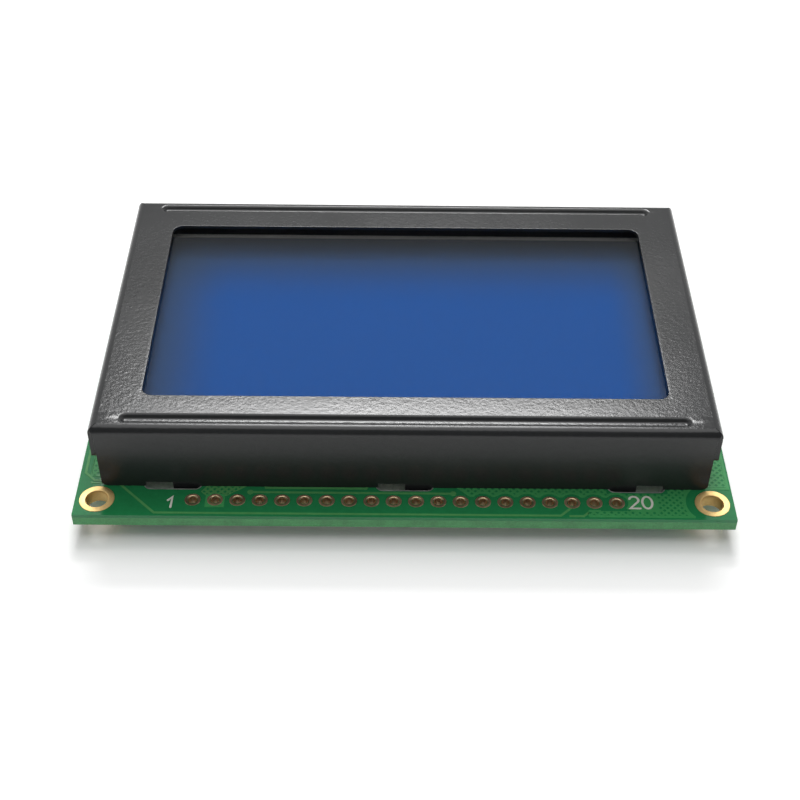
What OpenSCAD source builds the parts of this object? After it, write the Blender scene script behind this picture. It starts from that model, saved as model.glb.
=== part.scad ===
// Graphic liquid crystal display module: a stamped bezel holds the glass cell, its contact
// strips and an edge-lit backlight down on a circuit board.
// Millimetres. X runs along the header row, Y from front to rear, Z up.
// The origin is under the middle of the board, level with the ends of the bezel's tabs.

/* [Board] */
// Length of the circuit board, left to right
board_l = 75; // [70:0.1:84]
// Width of the circuit board, front to rear
board_w = 52.7; // [50:0.1:60]
// Thickness of the circuit board
board_t = 1.6; // [1:0.1:2.4]

/* [Mounting holes] */
// Distance from the board's edges to the middle of a mounting hole
hole_inset = 2.5; // [2.2:0.1:2.8]
// Finished diameter of a mounting hole
hole_d = 2.5; // [2:0.1:2.8]
// Width of the bare metal ring round a mounting hole
hole_ring = 0.75; // [0.5:0.05:0.8]
// Thickness of the plated metal on rings and in holes
plating_t = 0.05; // [0.04:0.01:0.1]

/* [Header holes] */
// Number of header holes
pin_count = 20; // [8:1:22]
// Distance between header holes
pin_pitch = 2.54; // [2.2:0.01:2.8]
// Finished diameter of a header hole
pin_hole_d = 1; // [0.7:0.05:1.2]
// Width of the metal ring round a header hole
pin_ring = 0.42; // [0.25:0.01:0.45]
// Distance from the board's front edge to the header row
header_inset = 2.5; // [2:0.1:2.8]

/* [Bezel] */
// Length of the viewing window
window_l = 60; // [50:0.1:64]
// Width of the viewing window
window_w = 32.6; // [28:0.1:36]
// Corner radius of the viewing window
window_r = 1.25; // [0.5:0.05:3]
// Distance from the board's left and right edges to the bezel
end_margin = 2.15; // [1.5:0.05:3]
// Distance from the board's front and rear edges to the bezel
side_margin = 4.65; // [4.6:0.05:5]
// Height of the bezel's face above the board
bezel_h = 9.2; // [8:0.1:12]
// Thickness of the bezel's sheet
sheet_t = 0.5; // [0.4:0.05:0.6]
// Inside radius of the bends
bend_r = 0.15; // [0.1:0.05:0.3]
// Radius of the bezel's corners, seen from above
corner_r = 0.75; // [0.7:0.05:1]
// Height of the left and right flanges, from the face down
side_flange_h = 4.8; // [3:0.1:6]
// Radius at the lower corners of the flanges
flange_r = 1; // [0.5:0.1:1.5]
// Width of the slits that part the flanges at the corners
slit_w = 0.12; // [0.1:0.01:0.2]

/* [Beads] */
// Distance from the bezel's outer face to the middle of a bead
bead_inset = 1.7; // [1.65:0.05:1.9]
// Flat width at the bottom of a bead
bead_floor = 0.7; // [0.5:0.05:0.8]
// Depth of a bead, with sides at 45 degrees
bead_depth = 0.45; // [0.3:0.05:0.5]
// Distance from the bezel's ends to the ends of a bead
bead_end = 3.2; // [2:0.1:8]

/* [Tabs] */
// Distance from the middle slot to the outer slots
tab_pitch = 26.6; // [20:0.1:28]
// Width of a tab
tab_w = 3.05; // [2:0.05:3.1]
// Length of a tab below the board
tab_reach = 2.2; // [1.9:0.1:3.5]
// Twist that locks a tab under the board, in degrees
tab_twist = 35; // [20:1:60]
// Length of a tab from the board's underside to the start of the twist
tab_neck = 0.1; // [0.1:0.05:0.5]
// How much thinner and narrower the twist draws a tab
tab_draw = 0.02; // [0.01:0.005:0.03]
// Length of a slot in the board
slot_l = 6.45; // [6:0.05:7]
// Width of a slot in the board
slot_w = 1.4; // [1.2:0.1:1.6]
// Distance from the end of a slot to its tab
slot_gap = 0.13; // [0.1:0.01:0.2]
// Height of the notch beside a tab in the flange's lower edge
notch_h = 0.65; // [0.4:0.05:1]
// Corner radius of that notch
notch_r = 0.25; // [0.1:0.05:0.3]

/* [Display cell] */
// Thickness of one glass plate
glass_t = 1.1; // [0.7:0.1:1.1]
// Room between the glass and the bezel's flanges
glass_gap = 0.4; // [0.3:0.05:0.5]
// Thickness of a polarizer film
polarizer_t = 0.2; // [0.1:0.05:0.25]
// Width of polarizer that the bezel's face covers round the window
polarizer_lap = 1; // [0.5:0.1:1.2]
// Room between the edge of the rear glass and its polarizer
polarizer_inset = 1; // [0.5:0.1:2]

/* [Contact strips] */
// Thickness of a contact strip
strip_t = 1.4; // [1:0.1:1.5]
// Room between a contact strip and the backlight or the rear glass
strip_gap = 0.2; // [0.1:0.05:0.3]
// Distance from the ends of the glass to the ends of a contact strip
strip_end = 3; // [1:0.5:6]

/* [Backlight] */
// Room between the tray and the bezel's left and right flanges
tray_gap = 1.6; // [1:0.1:2]
// Thickness of the tray's walls
tray_wall = 1.2; // [0.8:0.1:1.6]
// Thickness of the tray's floor
tray_floor = 1; // [0.6:0.1:1.4]
// Radius of the tray's upright corners
tray_r = 0.5; // [0.2:0.1:1]
// Thickness of the reflector sheet
reflector_t = 0.2; // [0.1:0.05:0.4]
// Thickness of the diffuser film
diffuser_t = 0.25; // [0.1:0.05:0.4]
// Room between the light guide and the tray's walls
guide_gap = 0.2; // [0.1:0.05:0.3]
// Distance from the tray's front and rear walls to the ends of the led board
led_board_gap = 1.9; // [1:0.1:3]
// Thickness of the led board
led_board_t = 0.8; // [0.5:0.1:1]
// Number of leds
led_count = 3; // [2:1:3]
// Distance between leds
led_pitch = 10; // [8:0.5:11]
// Length of a led
led_l = 3; // [2:0.1:3.5]
// Height of a led
led_h = 1.6; // [1:0.1:2]
// Depth of a led, from the led board to its lit face
led_depth = 1.5; // [1:0.1:2]
// Room between the leds and the light guide
led_gap = 0.2; // [0.1:0.05:0.3]

/* [Backlight terminals] */
// Diameter of a terminal pin
terminal_d = 0.6; // [0.5:0.05:0.7]
// Room round a pin in its holes
terminal_gap = 0.1; // [0.05:0.01:0.15]
// Distance from the ends of the led board to the middle of a pin
terminal_inset = 1.5; // [1:0.1:2]
// Length of a pin above the tray's floor
terminal_rise = 2; // [1:0.1:2.5]
// Length of a pin below the board
terminal_tail = 1.2; // [1:0.1:1.6]
// Diameter of a solder joint at the board
solder_d = 1.8; // [1.4:0.1:2.2]
// Diameter of a solder joint at its tip
solder_tip_d = 0.9; // [0.8:0.05:1.1]
// Height of a solder joint
solder_h = 0.9; // [0.5:0.1:1]

/* [Drivers] */
// Distance between the two column drivers
driver_pitch = 36; // [30:1:40]
// Distance from the middle of the board back to the column drivers
driver_rear = 6; // [4:0.5:9]
// Distance from the middle of the board forward to the row driver
driver_front = 4; // [2:0.5:5]
// Length of a driver die
die_l = 5; // [4:0.5:6]
// Width of a driver die
die_w = 4; // [3:0.5:5]
// Thickness of a driver die
die_t = 0.35; // [0.25:0.05:0.5]
// Diameter of the resin drop over a die
coating_d = 12; // [10:0.5:13]
// Height of the resin drop
coating_h = 1.4; // [1.2:0.1:1.6]

/* [Chip parts] */
// Length of a chip part
chip_l = 2; // [1.6:0.1:2.2]
// Width of a chip part
chip_w = 1.25; // [0.8:0.05:1.4]
// Length of a chip part's metal end
chip_end = 0.4; // [0.25:0.05:0.5]
// Distance between chip parts in a row
chip_step = 3.2; // [2.5:0.1:3.4]
// Distance from the middle of the board forward to the rows of chip parts
chip_row = 14; // [12:0.5:15]
// Number of resistors
resistor_count = 6; // [1:1:6]
// Height of a resistor
resistor_h = 0.5; // [0.4:0.05:0.6]
// Distance from the backlight's terminals to the leftmost resistor
resistor_gap = 3.95; // [2:0.05:5]
// Number of capacitors
capacitor_count = 4; // [1:1:4]
// Height of a capacitor
capacitor_h = 0.9; // [0.6:0.1:1.3]
// Distance from the middle of the board to the leftmost capacitor
capacitor_start = 8; // [8:0.5:9]

/* [Voltage inverter] */
// Distance from the board's right edge to the middle of the inverter
inverter_inset = 11.5; // [10.5:0.5:12.5]
// Length of the inverter's body
inverter_l = 4.9; // [4.5:0.1:5.2]
// Width of the inverter's body
inverter_w = 3.9; // [3.6:0.1:4.2]
// Height of the inverter's body
inverter_h = 1.4; // [1:0.1:1.5]
// Slope of the body's sides, from its parting line in
inverter_draft = 0.15; // [0.05:0.05:0.3]
// Room between the inverter's body and the board
inverter_lift = 0.15; // [0.1:0.05:0.2]
// Number of leads on each side
lead_count = 4; // [2:1:4]
// Distance between leads
lead_pitch = 1.27; // [1:0.01:1.3]
// Distance across the feet of the leads
lead_span = 6; // [5.6:0.1:6.4]
// Length of a lead's foot
lead_foot = 0.6; // [0.4:0.05:0.7]
// Width of a lead
lead_w = 0.42; // [0.3:0.02:0.5]
// Thickness of a lead
lead_t = 0.2; // [0.15:0.01:0.25]

/* [Hidden] */
$fn = 64;
// Cutters reach this far past the faces that they cut
over = 0.5;

// Levels, from the bottom up
board_z = tab_reach;
deck_z = board_z + board_t;
face_z = deck_z + bezel_h;
roof_z = face_z - sheet_t;
front_glass_z = roof_z - bead_depth - glass_t;
rear_glass_z = front_glass_z - glass_t;
light_z = rear_glass_z - polarizer_t;
floor_z = deck_z + tray_floor;
guide_z = floor_z + reflector_t;
diffuser_z = light_z - diffuser_t;

// Bezel
bezel_l = board_l - 2 * end_margin;
bezel_w = board_w - 2 * side_margin;
inner_l = bezel_l - 2 * sheet_t;
inner_w = bezel_w - 2 * sheet_t;
bend_outer_r = bend_r + sheet_t;
flange_l = bezel_l - 2 * corner_r;
wall_y = (bezel_w - sheet_t) / 2;
bead_l = bezel_l - 2 * bead_end;
bead_y = bezel_w / 2 - bead_inset;
// Width that the sheet's thickness adds to a bead on its inner side
bead_growth = 2 * sheet_t * tan(22.5);

// Tabs: the half of its slot that each one stands in, from left to right
tab_sides = [1, 1, -1];
tab_offset = (slot_l - tab_w) / 2 - slot_gap;
notch_l = slot_l - tab_w - 2 * slot_gap;
notch_offset = (slot_l - notch_l) / 2 - slot_gap;

// Mounting holes and header
hole_pitch_l = board_l - 2 * hole_inset;
hole_pitch_w = board_w - 2 * hole_inset;
header_y = header_inset - board_w / 2;
header_l = (pin_count - 1) * pin_pitch;

// Display cell and contact strips
glass_l = inner_l - 2 * glass_gap;
front_glass_w = inner_w - 2 * glass_gap;
strip_l = glass_l - 2 * strip_end;
strip_h = front_glass_z - deck_z;
rear_glass_w = 2 * (bead_y - strip_gap) - strip_t;

// Backlight
tray_l = inner_l - 2 * tray_gap;
tray_w = rear_glass_w;
cavity_l = tray_l - 2 * tray_wall;
cavity_w = tray_w - 2 * tray_wall;
led_board_l = cavity_w - 2 * led_board_gap;
led_x = led_board_t - cavity_l / 2;
guide_x = led_x + led_depth + led_gap;
guide_l = cavity_l / 2 - guide_gap - guide_x;
guide_w = cavity_w - 2 * guide_gap;
terminal_x = led_x + terminal_d / 2;
terminal_y = led_board_l / 2 - terminal_inset;
terminal_hole_d = terminal_d + 2 * terminal_gap;

// Rear parts
resistor_x = terminal_x + resistor_gap;
inverter_x = board_l / 2 - inverter_inset;
driver_places = [[-driver_pitch / 2, driver_rear], [driver_pitch / 2, driver_rear], [0, -driver_front]];
coating_r = (pow(coating_d / 2, 2) + pow(coating_h, 2)) / (2 * coating_h);

// Places that repeat

module at_mounting_holes() {
    for (x = [-1, 1], y = [-1, 1])
        translate([x * hole_pitch_l / 2, y * hole_pitch_w / 2, 0]) children();
}

module at_header_holes() {
    for (i = [0 : pin_count - 1])
        translate([i * pin_pitch - header_l / 2, header_y, 0]) children();
}

// The middles of the six slots, on the mid-plane of the front and rear flanges
module at_slots() {
    for (i = [-1 : 1], y = [-1, 1])
        translate([i * tab_pitch, y * wall_y, 0]) children();
}

// The same places, moved along each slot by a distance towards or away from its tab
module along_slots(distance) {
    for (i = [-1 : 1], y = [-1, 1])
        translate([i * tab_pitch + tab_sides[i + 1] * distance, y * wall_y, 0]) children();
}

module at_terminals() {
    for (y = [-1, 1])
        translate([terminal_x, y * terminal_y, 0]) children();
}

// The board's underside, with Z pointing down from it
module under_board() {
    translate([0, 0, board_z]) mirror([0, 0, 1]) children();
}

module at_resistors() {
    under_board()
        for (i = [0 : resistor_count - 1])
            translate([resistor_x + i * chip_step, -chip_row, 0]) children();
}

module at_capacitors() {
    under_board()
        for (i = [0 : capacitor_count - 1])
            translate([i * chip_step + capacitor_start, -chip_row, 0]) children();
}

// Shapes that repeat

module rounded_rectangle(l, w, r) {
    square([l - 2 * r, w], center = true);
    square([l, w - 2 * r], center = true);
    for (x = [-1, 1], y = [-1, 1])
        translate([x * (l / 2 - r), y * (w / 2 - r)]) circle(r);
}

module obround(l, w) {
    square([l - w, w], center = true);
    for (x = [-1, 1])
        translate([x * (l - w) / 2, 0]) circle(d = w);
}

// Outline of a bent sheet across one direction: upright sides, rounded at the top
module arch(span, top, r) {
    translate([-span / 2, 0]) square([span, top - r]);
    translate([r - span / 2, 0]) square([span - 2 * r, top]);
    for (x = [-1, 1])
        translate([x * (span / 2 - r), top - r]) circle(r);
}

// Block with the bends' radius along its four top edges and round upright corners
module bent_block(l, w, top, r, upright_r) {
    intersection() {
        rotate([90, 0, 0]) linear_extrude(w + over, center = true) arch(l, top, r);
        rotate([90, 0, 90]) linear_extrude(l + over, center = true) arch(w, top, r);
        linear_extrude(top + over) rounded_rectangle(l, w, upright_r);
    }
}

// Bead along X with sides at 45 degrees and round ends, from a lower level up to a higher one
module bead(floor_w, low, high) {
    rise = high - low;
    straight = bead_l - floor_w - 2 * bead_depth;
    top_w = floor_w + 2 * rise;
    translate([0, 0, low]) {
        rotate([90, 0, 90])
            linear_extrude(straight, center = true)
                polygon([[-floor_w / 2, 0], [floor_w / 2, 0], [top_w / 2, rise], [-top_w / 2, rise]]);
        for (x = [-1, 1])
            translate([x * straight / 2, 0, 0]) cylinder(h = rise, d1 = floor_w, d2 = top_w);
    }
}

// Plated hole: a barrel through the board with a flat ring on each side
module plated_hole(d, ring) {
    r = d / 2;
    rotate_extrude()
        polygon([
            [r, board_z - plating_t], [r + ring, board_z - plating_t], [r + ring, board_z],
            [r + plating_t, board_z], [r + plating_t, deck_z], [r + ring, deck_z],
            [r + ring, deck_z + plating_t], [r, deck_z + plating_t]
        ]);
}

// Rectangular plate on the middle of the module
module plate(l, w, z, t) {
    translate([-l / 2, -w / 2, z]) cube([l, w, t]);
}

// Sheet that covers the light guide
module guide_sheet(z, t) {
    translate([guide_x, -guide_w / 2, z]) cube([guide_l, guide_w, t]);
}

// Ceramic middle of a chip part, lying along Y
module chip_body(h) {
    translate([-chip_w / 2, chip_end - chip_l / 2, 0]) cube([chip_w, chip_l - 2 * chip_end, h]);
}

// Two metal ends of a chip part
module chip_ends(h) {
    for (y = [0, chip_l - chip_end])
        translate([-chip_w / 2, y - chip_l / 2, 0]) cube([chip_w, chip_end, h]);
}

module contact_strip(side) {
    translate([-strip_l / 2, side * bead_y - strip_t / 2, deck_z]) cube([strip_l, strip_t, strip_h]);
}

// Board

module circuit_board() color("darkgreen") difference() {
    plate(board_l, board_w, board_z, board_t);
    translate([0, 0, board_z - over]) linear_extrude(board_t + 2 * over) {
        at_mounting_holes() circle(d = hole_d + 2 * plating_t);
        at_header_holes() circle(d = pin_hole_d + 2 * plating_t);
        at_slots() obround(slot_l, slot_w);
        at_terminals() circle(d = terminal_hole_d);
    }
}

module mounting_hole_rings() color("gold") at_mounting_holes() plated_hole(hole_d, hole_ring);

module header_hole_rings() color("peru") at_header_holes() plated_hole(pin_hole_d, pin_ring);

// Bezel

// Face and flanges, all of one sheet, before anything is cut
module bezel_sheet() {
    difference() {
        bent_block(bezel_l, bezel_w, face_z, bend_outer_r, corner_r);
        bent_block(inner_l, inner_w, roof_z, bend_r, corner_r - sheet_t);
        // The sheet ends on the board
        plate(bezel_l + over, bezel_w + over, -over, deck_z + over);
    }
}

// Lower corners of a front or rear flange, outside the radius
module flange_corner_cut() {
    difference() {
        square(flange_r);
        translate([flange_r, flange_r]) circle(flange_r);
    }
}

// What is cut away at one end: below the side flange, at the lower corners and along the slits
module bezel_end_cut() {
    end = flange_l / 2;
    side_z = face_z - side_flange_h;
    bend_z = face_z - bend_outer_r;
    corner_x = bezel_l / 2;
    // Open side below the half-height flange
    translate([end, -bezel_w, deck_z - over]) cube([bezel_l, 2 * bezel_w, side_z - deck_z + over]);
    rotate([90, 0, 0]) linear_extrude(2 * bezel_w, center = true)
        translate([end, deck_z]) mirror([1, 0]) flange_corner_cut();
    // Slit between the flanges, then on along the bend to the corner of the face
    for (y = [-1, 1])
        translate([0, y * wall_y, 0]) rotate([90, 0, 0])
            linear_extrude(sheet_t + 2 * bend_r, center = true)
                polygon([
                    [end, side_z - over], [end + slit_w, side_z - over], [end + slit_w, bend_z],
                    [corner_x + slit_w, face_z - bend_r - slit_w], [corner_x + slit_w, face_z - bend_r],
                    [end, bend_z + slit_w]
                ]);
}

// Tab from inside the flange's lower edge down through the board and twisted under it, on the
// mid-plane of the sheet
module tab() {
    neck_z = tab_reach - tab_neck;
    translate([-tab_w / 2, -sheet_t / 2, neck_z]) cube([tab_w, sheet_t, deck_z + notch_h - neck_z]);
    // The twist draws the sheet in, so the twisted end starts just inside the neck
    rotate([0, 0, tab_twist])
        linear_extrude(neck_z + tab_draw, twist = tab_twist, slices = 8, segments = 4)
            square([tab_w - tab_draw, sheet_t - tab_draw], center = true);
}

module notch() {
    rotate([90, 0, 0]) linear_extrude(sheet_t + over, center = true)
        translate([0, deck_z]) rounded_rectangle(notch_l, 2 * notch_h, notch_r);
}

module bezel() color([0.16, 0.16, 0.17]) union() {
    difference() {
        union() {
            bezel_sheet();
            for (y = [-1, 1])
                translate([0, y * bead_y, 0]) bead(bead_floor + bead_growth, roof_z - bead_depth, roof_z + over / 2);
        }
        for (y = [-1, 1])
            translate([0, y * bead_y, 0]) bead(bead_floor, face_z - bead_depth, face_z + over);
        translate([0, 0, roof_z - over]) linear_extrude(sheet_t + 2 * over)
            rounded_rectangle(window_l, window_w, window_r);
        for (x = [0, 1]) mirror([x, 0, 0]) bezel_end_cut();
        along_slots(-notch_offset) notch();
    }
    along_slots(tab_offset) tab();
}

// Display cell

module front_polarizer() color([0.1, 0.25, 0.6])
    plate(window_l + 2 * polarizer_lap, window_w + 2 * polarizer_lap, front_glass_z + glass_t, polarizer_t);

module front_glass() color([0.7, 0.85, 0.9]) plate(glass_l, front_glass_w, front_glass_z, glass_t);

module rear_glass() color([0.6, 0.8, 0.85]) plate(glass_l, rear_glass_w, rear_glass_z, glass_t);

module rear_polarizer() color([0.3, 0.3, 0.5])
    plate(glass_l - 2 * polarizer_inset, rear_glass_w - 2 * polarizer_inset, light_z, polarizer_t);

module front_contact_strip() color("lightpink") contact_strip(-1);

module rear_contact_strip() color("lightpink") contact_strip(1);

// Backlight

module backlight_frame() color("white") difference() {
    translate([0, 0, deck_z]) linear_extrude(light_z - deck_z) rounded_rectangle(tray_l, tray_w, tray_r);
    plate(cavity_l, cavity_w, floor_z, light_z - floor_z + over);
    translate([0, 0, deck_z - over]) linear_extrude(tray_floor + 2 * over)
        at_terminals() circle(d = terminal_hole_d);
}

module reflector_sheet() color("ivory") guide_sheet(floor_z, reflector_t);

module light_guide() color("lightcyan") guide_sheet(guide_z, diffuser_z - guide_z);

module diffuser_film() color("whitesmoke") guide_sheet(diffuser_z, diffuser_t);

module led_board() color("seagreen")
    translate([-cavity_l / 2, -led_board_l / 2, floor_z]) cube([led_board_t, led_board_l, diffuser_z - floor_z]);

module leds() color("lightyellow")
    for (i = [0 : led_count - 1])
        translate([led_x, (i - (led_count - 1) / 2) * led_pitch - led_l / 2, (guide_z + diffuser_z - led_h) / 2])
            cube([led_depth, led_l, led_h]);

module backlight_terminals() color("silver") at_terminals()
    translate([0, 0, board_z - terminal_tail])
        cylinder(d = terminal_d, h = floor_z + terminal_rise - board_z + terminal_tail);

module terminal_solder() color("gainsboro") at_terminals() rotate_extrude()
    polygon([
        [terminal_d / 2, board_z], [solder_d / 2, board_z],
        [solder_tip_d / 2, board_z - solder_h], [terminal_d / 2, board_z - solder_h]
    ]);

// Rear parts

module driver_die() {
    translate([-die_l / 2, -die_w / 2, 0]) cube([die_l, die_w, die_t]);
}

module driver_dies() color("slategray") under_board()
    for (place = driver_places) translate(place) driver_die();

module driver_coatings() color([0.08, 0.08, 0.08]) under_board()
    for (place = driver_places)
        translate(place) difference() {
            rotate_extrude()
                intersection() {
                    translate([0, coating_h - coating_r]) circle(coating_r, $fn = 360);
                    square([coating_d, coating_h]);
                }
            driver_die();
        }

module resistor_bodies() color("dimgray") at_resistors() chip_body(resistor_h);

module resistor_ends() color("silver") at_resistors() chip_ends(resistor_h);

module capacitor_bodies() color("tan") at_capacitors() chip_body(capacitor_h);

module capacitor_ends() color("silver") at_capacitors() chip_ends(capacitor_h);

// The inverter's middle on the board's underside, with its leads along X
module at_inverter() {
    under_board() translate([inverter_x, -chip_row, 0]) children();
}

module inverter_body() color([0.12, 0.12, 0.12]) at_inverter() {
    half = inverter_w / 2;
    low = inverter_lift;
    middle = low + inverter_h / 2;
    high = low + inverter_h;
    rotate([90, 0, 0]) linear_extrude(inverter_l, center = true)
        polygon([
            [inverter_draft - half, low], [half - inverter_draft, low], [half, middle],
            [half - inverter_draft, high], [inverter_draft - half, high], [-half, middle]
        ]);
}

// One bent lead: out of the body's side, down to the board and out along it
module lead() {
    tip = lead_span / 2;
    heel = tip - lead_foot;
    level = inverter_lift + inverter_h / 2;
    root = inverter_w / 2;
    rotate([90, 0, 0]) linear_extrude(lead_w, center = true)
        polygon([
            [root, level], [heel - lead_t, level], [heel - lead_t, 0], [tip, 0],
            [tip, lead_t], [heel, lead_t], [heel, level + lead_t], [root, level + lead_t]
        ]);
}

module inverter_leads() color("silver") at_inverter()
    for (x = [0, 1], i = [0 : lead_count - 1])
        translate([0, (i - (lead_count - 1) / 2) * lead_pitch, 0]) mirror([x, 0, 0]) lead();

circuit_board();
mounting_hole_rings();
header_hole_rings();
bezel();
front_polarizer();
front_glass();
rear_glass();
rear_polarizer();
front_contact_strip();
rear_contact_strip();
backlight_frame();
reflector_sheet();
light_guide();
diffuser_film();
led_board();
leds();
backlight_terminals();
terminal_solder();
driver_dies();
driver_coatings();
resistor_bodies();
resistor_ends();
capacitor_bodies();
capacitor_ends();
inverter_body();
inverter_leads();
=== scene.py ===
"""Looks of a graphic LCD module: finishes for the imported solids, copper tracks, printing and a studio."""

import math

import bmesh
import bpy
from bpy.props import FloatProperty, FloatVectorProperty, PointerProperty
from mathutils import Euler, Matrix, Vector


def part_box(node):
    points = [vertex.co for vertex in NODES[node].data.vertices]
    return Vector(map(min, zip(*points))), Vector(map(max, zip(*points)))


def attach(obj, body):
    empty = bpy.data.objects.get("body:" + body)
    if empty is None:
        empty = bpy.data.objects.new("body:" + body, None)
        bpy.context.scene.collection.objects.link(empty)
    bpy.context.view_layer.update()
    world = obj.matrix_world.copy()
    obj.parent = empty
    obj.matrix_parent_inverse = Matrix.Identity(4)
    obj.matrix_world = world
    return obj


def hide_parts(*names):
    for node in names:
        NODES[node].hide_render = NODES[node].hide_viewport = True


bl_info = {
    "name": "Graphic LCD module",
    "version": (1, 0, 0),
    "blender": (4, 5, 0),
    "location": "View3D > Sidebar > LCD module",
    "description": "Finishes, copper, printing and a studio for a graphic LCD module",
    "category": "Object",
}

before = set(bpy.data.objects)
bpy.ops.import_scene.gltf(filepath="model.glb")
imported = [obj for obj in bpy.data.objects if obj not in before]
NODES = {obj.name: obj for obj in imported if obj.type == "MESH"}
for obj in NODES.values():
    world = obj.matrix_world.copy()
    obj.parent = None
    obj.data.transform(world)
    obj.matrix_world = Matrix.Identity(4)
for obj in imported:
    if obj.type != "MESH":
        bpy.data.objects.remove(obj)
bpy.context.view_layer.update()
MM = 0.001


def node_box(name):
    """Lowest and highest corner of a solid, in millimetres."""
    low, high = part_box(name)
    return Vector(low) / MM, Vector(high) / MM


# Lengths are in millimetres, apart from properties, bumps, lamps and the floor, which are in metres
UNDERSIDE, DECK = (corner.z for corner in node_box("circuit_board"))
# Points of a mesh that are closer than the first become one; lengths under the second count as nothing
MERGE, TOUCH = 0.0005, 0.0001
# Tabs: where each meets the notch beside it, and the way from notch to tab along X
TABS = ((-26.555, 1), (0.045, 1), (26.555, -1))
TAB_W = 3.05
TWIST = 35.0
NOTCH_L = 3.14
NOTCH_H = 0.65
# Corners of the bezel: slit along the mitre, flanges set back from the corner, radius at their feet
SLIT = 0.05
SIDE_SETBACK = 0.58
END_SETBACK = 0.35
FLANGE_CORNER = 1.0
# How far the long flanges lean in from bend to foot
LEAN = 0.30
# Radius where the slope of a bead meets its floor
BEAD_FOOT = 0.18
# Places on the board
HOLE_X, HOLE_Y = 35.0, 23.85
HEADER_X = tuple(2.54 * (i - 9.5) for i in range(20))
HEADER_Y = -23.85
SLOT_X, SLOT_Y, SLOT_HALF = 26.6, 21.45, 2.525
DROPS = ((-18.0, 6.0), (18.0, 6.0), (0.0, -4.0))
RESISTOR_X, CAPACITOR_X, CHIP_STEP, CHIP_Y = -27.0, 8.0, 3.2, -14.0
CHIP_X = [RESISTOR_X + CHIP_STEP * k for k in range(6)] + [CAPACITOR_X + CHIP_STEP * k for k in range(4)]
LEAD_STEP = 1.27
# Plated holes: radius, width of the ring, roll into the barrel; then how far they stand proud, and the barrel's wall
MOUNTING_HOLE = (1.25, 0.75, 0.12)
HEADER_HOLE = (0.50, 0.42, 0.22)
PROUD, BARREL = 0.05, 0.05
# Copper: how deep it starts in the board, pitch and line of the hatch, clearances round pads and holes
SINK = 0.01
PITCH, LINE, BORDER = 0.57, 0.27, 0.33
CLEAR_R, RING_CLEAR_R = 1.30, 3.0
# Cells of the hatch under this share of a whole one stay filled
SMALL_CELL = 0.3
# How far crossing tracks, border lines and pads stand over other copper, so that no two faces share a plane
OVER, EDGE_OVER, PAD_OVER = 0.004, 0.006, 0.02
# Level and height of what cuts through copper on the top
CUT = (DECK - 1, 2)
# Underside: where tracks meet the chip parts, how far from a drop's middle tracks and fans end, width of the fans
CHIP_END, TRACK_MEET, FAN_MEET, FAN_W = 0.85, 5.4, 5.6, 0.2
# Numbers: width of a pen line, level and height of the ink
STROKE = 0.27
INK = (DECK + 0.015, 0.03)
# Rings and boxes on the underside: radius of a ring, then width, level and height of their lines
DROP_RING_R = 6.45
RING_INK, BOX_INK = (0.28, UNDERSIDE - 0.045, 0.05), (0.16, UNDERSIDE - 0.06, 0.04)
# Tin of a slot: radius and width of its wall, and of the lip round its top
SLOT_WALL, SLOT_LIP = (0.685, 0.04), (0.755, 0.10)
# How far the lacquer ran down the board's edges, and over how much it ends
RUN, RUN_EDGE = 0.40, 0.12
# Bump of solder and tinned pads: height, fine scale, broad scale, share
TIN_BUMP = (0.00001, 3500.0, 1100.0, 0.5)
# Painted shade on the display towards its frame: axis, edge, reach inwards and what is left of the blue at the edge,
# with a grey added there as painted reflection
PAINTED_SHADE_FADES = (("X", -30.5, 9.0, 0.42), ("X", 30.5, 5.5, 0.58), ("Y", 18.0, 14.0, 0.16))
PAINTED_GREY_REFLECTION = (0.031, 0.042, 0.037)
# Lamps: property, shape, size and place; then the place that they point at
LAMPS = (
    ("rear_lamp", "ELLIPSE", (0.325, 0.075), (-0.003, 0.475, 0.522)),
    ("upper_lamp", "ELLIPSE", (0.34, 0.266), (-0.003, 0.345, 0.63)),
    ("top_lamp", "RECTANGLE", (0.7, 0.7), (0.0, -0.03, 0.9)),
)
LAMP_AIM = (0, -0.02, 0.01)
# White of the floor where it lights the module, and where it is seen
FLOOR_LIT, FLOOR_SEEN = (0.80, 0.80, 0.80, 1), (1.15, 1.15, 1.15, 1)
# Camera: place, and turn in degrees
CAMERA_PLACE = (-1.326, -139.837, 125.442)
CAMERA_TURN = (47.568, -0.504, 0.147)


# Properties


def colour_property(name, description, default):
    """A colour that a user may change."""
    return FloatVectorProperty(
        name=name, description=description, subtype="COLOR", size=3, min=0, max=1, default=default,
    )


def length_property(name, description, default):
    """A length in metres that a user may change."""
    return FloatProperty(name=name, description=description, subtype="DISTANCE", unit="LENGTH", default=default)


def power_property(name, description, default):
    """A lamp's power in watts that a user may change."""
    return FloatProperty(name=name, description=description, subtype="POWER", unit="POWER", default=default)


class BezelProperties(bpy.types.PropertyGroup):
    paint: colour_property("Paint", "Colour of the bezel's paint", (0.0205, 0.0215, 0.0225))
    peel: length_property("Orange peel", "Height of the paint's orange peel", 0.000018)
    sheet: length_property("Sheet", "Thickness of the sheet", 0.0005)
    bend: length_property("Bend", "Outer radius of the bends", 0.0010)
    width: length_property("Width", "Width over the feet of the long flanges", 0.0434)
    rim: length_property("Rim", "Softening of the window's cut edge", 0.00007)
    window: FloatVectorProperty(
        name="Window", description="Length and width of the window", subtype="TRANSLATION", unit="LENGTH", size=2,
        default=(0.060, 0.0326),
    )
    window_corner: length_property("Window corner", "Corner radius of the window", 0.00125)
    bead_length: length_property("Bead length", "Length of the beads", 0.0643)
    bead_width: length_property("Bead width", "Width of the beads at the face", 0.0018)
    bead_depth: length_property("Bead depth", "Depth of the beads", 0.00042)
    side_flange: length_property("Side flange", "Height of the flanges at the ends", 0.0048)


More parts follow.
